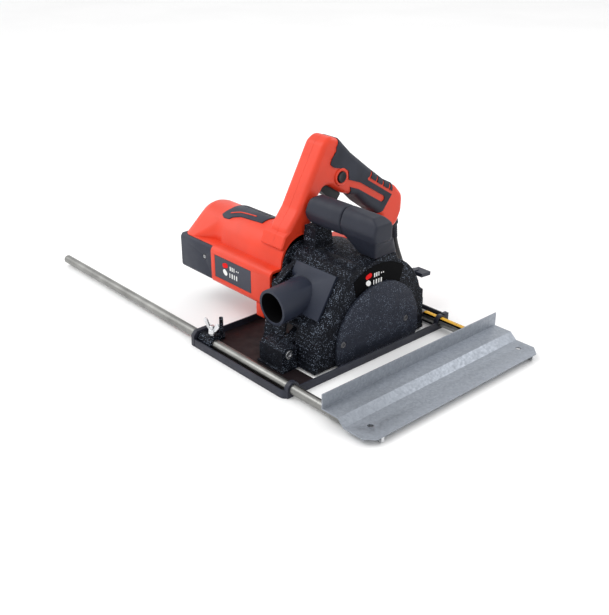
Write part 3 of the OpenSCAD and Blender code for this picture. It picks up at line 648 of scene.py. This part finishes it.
def make_cord():
    tail = [(x, PLUG_Y, z) for x, z in ((-277, 10.7), (-291, 11.1), (-304, 11.4), (-321, 11.5))]
    path = catmull(CORD_ROUTE + coil_points() + tail, 2)
    guard = lathe("strain_relief", [
        (0, 0), (4.0, 0), (4.3, 0.4), (4.35, 1.8), (3.9, 2.1), (3.95, 3.3), (4.6, 3.6), (4.7, 5.2),
        (4.2, 5.5), (4.25, 6.7), (4.9, 7.0), (5.05, 8.6), (4.5, 8.9), (4.55, 10.1), (5.3, 10.4),
        (5.4, 12.0), (4.8, 12.3), (4.85, 13.5), (5.6, 13.8), (5.75, 15.4), (5.1, 15.7),
        (5.15, 16.9), (6.0, 17.2), (6.1, 19.8), (7.6, 21.8), (7.9, 22.2), (7.9, 26.6), (7.5, 27),
        (6.4, 27.1), (6.4, 28), (0, 28)], (-44.5, 175.3, 74), GUARD_AXIS)
    finish(guard, "soft_rubber", "motor_unit", "soft_rubber", "cord_guard")
    plug = lathe("plug_body", [
        (0, -2), (4.2, -2), (4.6, -1.6), (5.0, 1), (6.6, 1.6), (7.2, 3), (10.8, 4.2), (12.6, 5.6),
        (12.95, 7), (12.95, 8.4), (12.3, 9), (12.3, 10.2), (12.95, 10.8), (12.95, 18.4),
        (12.5, 19), (0, 19)], (PLUG_X, PLUG_Y, PLUG_R), (-1, 0, 0), 64)
    finish(plug, "cord_pvc", "base", "cord_pvc", "plug")
    for side, name in ((-1, "plug_pin_near"), (1, "plug_pin_far")):
        pin = lathe(name, [(0, 0), (2.4, 0), (2.4, 11.6), (1.9, 13.4), (1.2, 14), (0, 14)],
                    (PLUG_X - 18.5, PLUG_Y + side * 7, PLUG_R), (-1, 0, 0), 24)
        finish(pin, "zinc", "base", "zinc")
    cord = sweep("mains_cord", path, CORD_R - 0.05, 12)
    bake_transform(cord)
    cord.data.materials.append(MATERIAL["cord_pvc"])
    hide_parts("cord_run", "cord_coil")


# ------------------------------------------------------------------ rear handle

HANDLE_X = -44.5
HANDLE_W = 35
HANDLE_OUTER = [
    (-44, 124), (-15, 160), (9, 203), (26, 234), (38, 241), (50, 236), (72, 214), (105, 188),
    (133, 167), (156, 155), (170, 140), (169, 118), (160, 100), (130, 92), (90, 84), (40, 76),
    (18, 80), (0, 118)]
HANDLE_INNER = [
    (6, 130), (10, 150), (18, 170), (27, 181), (36, 180), (60, 165), (83, 158), (101, 141),
    (122, 126), (132, 116), (118, 110), (84, 104), (48, 104), (24, 116)]
CROWN_AXIS = (-9, 97)  # of the motor housing's round top, in Y and Z
CROWN_R = 35
BUTTON = (54, 188)
SKIN = [
    (60, 250), (50, 235), (45, 226), (45, 222), (38, 214), (35, 207), (42, 202), (54, 199),
    (66, 194), (67, 184), (71, 166), (70, 150), (114, 120), (130, 127), (146, 146), (148, 160),
    (160, 175), (110, 215)]
SKIN_T = 1.2


def handle_loop(name, grow=0.0, depth=6.5, steps=7):
    """The closed loop of the rear handle with rounded edges."""
    half = HANDLE_W / 2
    stations = []
    for k in range(steps + 1):
        a = math.pi / 2 * k / steps
        inset = grow - depth * (1 - math.sin(a))
        stations.append((HANDLE_X - half - grow + depth * (1 - math.cos(a)), inset, -inset))
    stations += [(2 * HANDLE_X - x, a, b) for x, a, b in reversed(stations)]
    return loft_x(name, rounded(HANDLE_OUTER, 16, 7), rounded(HANDLE_INNER, 9, 5), stations)


def motor_tool(x0, x1, grow=0.15):
    """The space that the motor's housing takes."""
    tool = prism("motor_space", rounded([(-62, 44), (26, 44), (26, 94), (-62, 94)], 7.6), x0, x1)
    crown = prism("crown_space", circle(CROWN_AXIS, CROWN_R + grow, 96), x0, x1)
    body = prism("body_space", circle((-13, 78), 34 + grow, 96), x0, x1)
    return [tool, crown, body]


def make_handle():
    half = HANDLE_W / 2
    for name, side, node in (("grip_shell_far", -1, "handle_left"),
                             ("grip_shell_near", 1, "handle_right")):
        shell = handle_loop(name)
        foot = rounded([(-44, 116), (-37, 132), (-28, 138), (0, 140), (8, 110)], 3)
        cut(shell, loft_x("foot", foot, None, [
            (HANDLE_X - 23, -1.5, 0), (HANDLE_X - 21.5, 0, 0), (HANDLE_X + half - 1.5, 0, 0),
            (HANDLE_X + half, -1.5, 0)]), operation="UNION")
        cavity = offset(rounded(HANDLE_OUTER, 16, 7), -4.2)
        hole = offset(rounded(HANDLE_INNER, 9, 5), 4.2)
        cut(shell, loft_x("cavity", cavity, hole, [
            (HANDLE_X - half + 3, 0, 0), (HANDLE_X + half - 3, 0, 0)]))
        cut(shell, *motor_tool(HANDLE_X - 30, HANDLE_X + 30))
        window = rounded([(20, 150), (68, 150), (68, 192), (20, 192)], 2)
        cut(shell, prism("window", window, HANDLE_X - 9, HANDLE_X + 9))
        if side > 0:
            cut(shell, prism("button_hole", circle(BUTTON, 7.35), HANDLE_X, HANDLE_X + 40))
        seam = HANDLE_X - 0.1
        other = (seam - 60, seam + 0.12) if side > 0 else (seam - 0.12, seam + 60)
        cut(shell, prism("other_half", [Vector(p) for p in
                                        ((-90, 40), (200, 40), (200, 270), (-90, 270))], *other))
        shade(shell, 34)
        finish(shell, "red_plastic", "motor_unit", "red_plastic", node)
        weigh_normals(shell)


def make_overmould():
    """Rubber skin on the grip, with the red tongue, comb and button collar left bare."""
    skin = handle_loop("grip_skin", SKIN_T, 6.5 + SKIN_T)
    x0, x1 = HANDLE_X - 40, HANDLE_X + 40
    cut(skin, prism("skin_area", rounded(SKIN, 3), x0, x1), operation="INTERSECT")
    cut(skin, handle_loop("core"),
        prism("tongue", capsule([(60, 180), (72, 175.5), (86, 170), (107, 157), (128, 144)], 4.2),
              x0, x1),
        prism("spine", capsule([(102, 176), (146, 148)], 1.9), x0, x1),
        prism("collar_space", circle(BUTTON, 11.5), x0, x1))
    for i in range(4):
        root = (103 + 12 * i, 175 - 7.6 * i)
        cut(skin, prism("finger", capsule([root, (root[0] + 15, root[1] + 23)], 1.7), x0, x1))
    shade(skin, 34)
    finish(skin, "soft_rubber", "motor_unit", "soft_rubber", "grip_overmould")
    weigh_normals(skin)


def make_button():
    face = HANDLE_X + HANDLE_W / 2
    collar = lathe("button_collar", [
        (7.5, -1.4), (7.5, 1.0), (7.9, 1.5), (9.0, 1.8), (10.2, 1.6), (11.0, 0.9), (11.3, -0.4),
        (11.0, -1.4), (7.5, -1.4)], (face, *BUTTON), (1, 0, 0))
    finish(collar, "red_plastic", "motor_unit", "red_plastic")
    button = lathe("lock_button_finished", [
        (0, 9), (8.4, 9), (8.4, 11.4), (7, 11.5), (7, 19.4), (6.7, 20.1), (6.0, 20.5), (5.0, 20.4),
        (4.0, 20.0), (0, 19.8)], (HANDLE_X, *BUTTON), (1, 0, 0))
    finish(button, "black_plastic", "lock_button", "black_plastic", "lock_button")


# ------------------------------------------------------------------ motor details

def crown_point(x, y, rise=0.1):
    """A point on the crown's surface."""
    return (x, y, 97 + math.sqrt(max((35 + rise) ** 2 - (y + 9) ** 2, 0)))


def make_motor_details():
    seam = sweep("crown_seam", [crown_point(-72 + 2.2 * i, -35.4, 0.0) for i in range(19)], 0.4, 8)
    finish(seam, "red_dark", "motor_unit", "red_plastic")
    tongue = sweep("panel_tongue", catmull([crown_point(x, y, 1.3) for x, y in (
        (-146, -26), (-134, -20), (-120, -17.5), (-106, -16))], 5), 0.9, 8)
    finish(tongue, "red_plastic", "motor_unit", "red_plastic")


def mark(name, outline, at, across, up, depth, material, body):
    """A thin raised shape on a flat label: outline in (across, up) mm from at."""
    normal = Vector(across).cross(Vector(up))
    bm = bmesh.new()
    low = [bm.verts.new((Vector(at) + p.x * Vector(across) + p.y * Vector(up)) * MM)
           for p in outline]
    high = [bm.verts.new(v.co + normal * depth * MM) for v in low]
    bridge(bm, low, high)
    bm.faces.new(low)
    bm.faces.new(high)
    bmesh.ops.recalc_face_normals(bm, faces=bm.faces)
    piece = to_object(name, bm)
    return finish(piece, material, body, "label_black")


def make_marks(name, at, across, up, size, body):
    """A generic mark of two blobs, and two rows of bars in place of writing."""
    def place(outline):
        return [Vector((p.x * size, p.y * size)) for p in outline]
    mark(name + "_red", place(capsule([(0, 4.4), (3.6, 5.4)], 2.6)), at, across, up, 0.15,
         "label_red", body)
    mark(name + "_white", place(capsule([(0.8, -2.0), (2.4, -3.2)], 2.7)), at, across, up, 0.15,
         "label_white", body)
    rows = ((4.0, ((9.5, 1.6, 4.4), (12.6, 1.5, 4.4), (15.8, 1.1, 4.4), (19.6, 1.3, 1.4),
                   (22.4, 1.3, 1.4))),
            (-3.6, ((8.6, 1.2, 5.0), (12.2, 1.8, 5.0), (16.0, 1.3, 5.0), (19.4, 1.7, 5.0))))
    for r, (level, bars) in enumerate(rows):
        for b, (x, w, h) in enumerate(bars):
            bar = rounded([(x, level - h / 2), (x + w, level - h / 2), (x + w, level + h / 2),
                           (x, level + h / 2)], 0.3, 2)
            mark(f"{name}_bar_{r}_{b}", place(bar), at, across, up, 0.15, "label_white", body)


def make_labels():
    make_marks("motor_mark", (-117, -62.05, 69.5), (1, 0, 0), (0, 0, 1), 1.25, "motor_unit")
    make_marks("hood_mark", (72.42, 2.6, 96.4), (0, 1, 0), (0, 0, 1), 1.15, "base")


# ------------------------------------------------------------------ small parts

def make_springs():
    coil = spring("plunge_spring_wire", (-49, -44), 2.0, 25.0, 5.72, 0.75, 6)
    finish(coil, "spring_steel", "base", "spring_steel", "plunge_spring")
    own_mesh(coil)
    stud = lathe("spring_stud", [
        (0, 0), (1.3, 0), (1.7, 0.5), (2.1, 5.5), (2.6, 8.0), (2.6, 9.3), (6.2, 9.3), (6.5, 9.6),
        (6.5, 12), (2.6, 12), (2.6, 28), (0, 28)], (-49, -44, 16), (0, 0, 1), 32)
    finish(stud, "steel_machined", "motor_unit", "steel_machined", "spring_bolt")
    stop = lathe("plunge_stop_screw", [
        (0, 0), (3.0, 0), (3.4, 0.4), (3.4, 3.6), (3.0, 4), (1.8, 4), (1.6, 3.8), (1.6, 2.4),
        (0, 2.4)], (-56, -54, 36), (-1, 0, 0), 32)
    finish(stop, "steel_machined", "motor_unit", "steel_machined", "spring_bolt")
    small = spring("trigger_spring_wire", (-44.5, 52), 176.2, 181.6, 2.15, 0.4, 5)
    finish(small, "spring_steel", "motor_unit", "spring_steel", "trigger_spring")
    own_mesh(small)


def make_wing_screw(node, y):
    hub = lathe(node + "_hub", [
        (0, 6.5), (2.6, 6.5), (3.0, 7.0), (2.75, 7.5), (3.0, 8.0), (2.75, 8.5), (3.0, 9.0),
        (2.75, 9.5), (3.0, 10.0), (2.75, 10.5), (3.0, 11.0), (2.75, 11.5), (3.0, 12.0), (3.0, 13.0),
        (4.6, 13.1), (5.0, 13.6), (4.9, 15.0), (4.2, 18.6), (3.6, 19.0), (3.0, 19.0), (3.0, 22.6),
        (2.5, 23.2), (0, 23.3)], (-61, y, 9), (0, 0, 1), 32)
    for side in (1, -1):
        wing = rounded([(side * 2.5, 14.2), (side * 9, 18.0), (side * 15.6, 25.6),
                        (side * 13.6, 30.2), (side * 9.4, 28.8), (side * 3.4, 19.4)], 2.4, 6)
        bm = bmesh.new()
        rings = []
        for thick, grow in ((-1.2, -0.5), (-0.8, 0), (0.8, 0), (1.2, -0.5)):
            rings.append([bm.verts.new(mm(-61 + p.x, y + thick, 9 + p.y)) for p in
                          offset(wing, grow)])
        for a, b in zip(rings, rings[1:]):
            bridge(bm, a, b)
        bm.faces.new(rings[0])
        bm.faces.new(rings[-1])
        bmesh.ops.recalc_face_normals(bm, faces=bm.faces)
        cut(hub, to_object("wing", bm), operation="UNION")
    shade(hub, 34)
    finish(hub, "zinc", node, "zinc", node)


REAR_ROD = (125, 9)  # the rod's axis, in Y and Z
TAPE_INNER_R = 6.02   # just clear of the 12 mm rod
TAPE_STEPS = 10


def tape_strip(name, x0, x1, a0, a1, radius, material):
    """A strip bent round the rear guide rod, between two angles up from its side."""
    bm = bmesh.new()
    angles = [math.radians(a0 + (a1 - a0) * k / TAPE_STEPS) for k in range(TAPE_STEPS + 1)]

    def arc(x, r):
        return [bm.verts.new(mm(x, REAR_ROD[0] + r * math.cos(a), REAR_ROD[1] + r * math.sin(a)))
                for a in angles]

    ends = [(arc(x, TAPE_INNER_R), arc(x, radius)) for x in (x0, x1)]
    bridge(bm, *(inner + outer[::-1] for inner, outer in ends))
    for inner, outer in ends:
        for i in range(TAPE_STEPS):
            bm.faces.new((inner[i], inner[i + 1], outer[i + 1], outer[i]))
    bmesh.ops.recalc_face_normals(bm, faces=bm.faces)
    return finish(to_object(name, bm, 20), material, "guide", "tape")


def make_scale_tape():
    """A black film painted on the rod as its shade and dark reflection, with a yellow strip and its
    tick marks.
    """
    # Painted shade and reflection: a black film where the rod itself only looks dark.
    shade_sleeve = tape_strip("scale_shade_sleeve", 60, 138, 36, 144, 6.12, "label_black")
    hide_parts("scale_tape")
    tape_strip("scale_strip", 60.5, 137.5, 40, 122, 6.2, "tape")
    for i in range(16):
        top = 104 if i % 5 == 0 else 82
        tape_strip(f"scale_tick_{i}", 61.5 + 5 * i, 62.1 + 5 * i, 42, top, 6.27, "label_black")


def make_screw_heads():
    """Socket screws of the cover, seated in its counterbores."""
    for name, y in (("cover_screw_front", -37), ("cover_screw_rear", 70)):
        head = lathe(name, [
            (0, -11.8), (1.7, -11.8), (1.9, -11.4), (1.9, -1.4), (3.4, -1.4), (3.8, -1.0),
            (3.8, -0.3), (3.5, 0), (2.1, 0), (1.9, -0.2), (1.9, -0.9), (0, -0.9)],
            (75.4, y, 28), (1, 0, 0), 36)
        finish(head, "blackened", "base", "zinc")
        if y < 0:
            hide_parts("cover_screws")


def paint_tray():
    """The tray's inside floor is painted darker and slightly brownish, as painted shade."""
    tray = bevelled("tray", 0.8 * MM)
    tray.data.materials.append(MATERIAL["tray_floor_shade"])
    # Painted shade goes on the inside floor faces.
    for face in tray.data.polygons:
        if face.normal.z > 0.9 and face.center.z < 0.0025:
            face.material_index = 1


def paint_port():
    """The dust port is painted near-black inside its bore, as painted shade."""
    port = bevelled("dust_port", 0.7 * MM)
    port.data.materials.append(MATERIAL["bore_shade"])
    tilt = math.radians(86)
    at, along = mm(12.5, -92, 71), Vector((0, math.sin(tilt), math.cos(tilt)))
    for face in port.data.polygons:
        away = face.center - at
        radial = away - along * away.dot(along)
        if radial.length < 0.0188 and face.normal.dot(radial) < 0 and away.dot(along) > 0.001:
            face.material_index = 1


def paint_blades():
    """Blade rims carry the diamond segments."""
    blades = bevelled("diamond_blades", 0.2 * MM)
    blades.data.materials.append(MATERIAL["blade_core"])
    box_low, box_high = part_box("diamond_blades")
    y, z = (box_low[1] + box_high[1]) / 2, (box_low[2] + box_high[2]) / 2
    for face in blades.data.polygons:
        if math.hypot(face.center.y - y, face.center.z - z) < 0.046:
            face.material_index = 1


make_camera()
make_cord()
make_stage()
make_handle()
make_overmould()
make_button()
make_motor_details()
make_labels()
make_springs()
make_wing_screw("wing_screw_front", -125)
make_wing_screw("wing_screw_rear", 125)
make_scale_tape()
make_screw_heads()
paint_tray()
paint_port()
paint_blades()

BEVELS = {
    "blade_cover": 0.9, "hinge_block": 1.2,
    "rod_clamps": 0.8, "depth_quadrant": 0.6, "motor_housing": 1.0, "rear_cap": 1.2,
    "gear_case": 0.8, "guide_plate": 0.45, "rod_saddles": 0.5, "depth_lever": 0.9,
    "trigger": 0.8, "spindle_lock": 0.5, "vent_grille": 0.4,
    "guide_rods": 0.5, "hinge_pin": 0.4,
}
for node_name, width_mm in BEVELS.items():
    bevelled(node_name, width_mm * MM)
moulded("hood", 1.2 * MM, 3)
for node_name in ("aux_handle_left", "aux_handle_right"):
    moulded(node_name, 1.2 * MM, 10)
for node_name, node in NODES.items():
    if not node.hide_render:
        node.data.materials.clear()
        node.data.materials.append(
            MATERIAL["label_slate" if node_name == "label_plate" else SLOT_OF[node_name]])
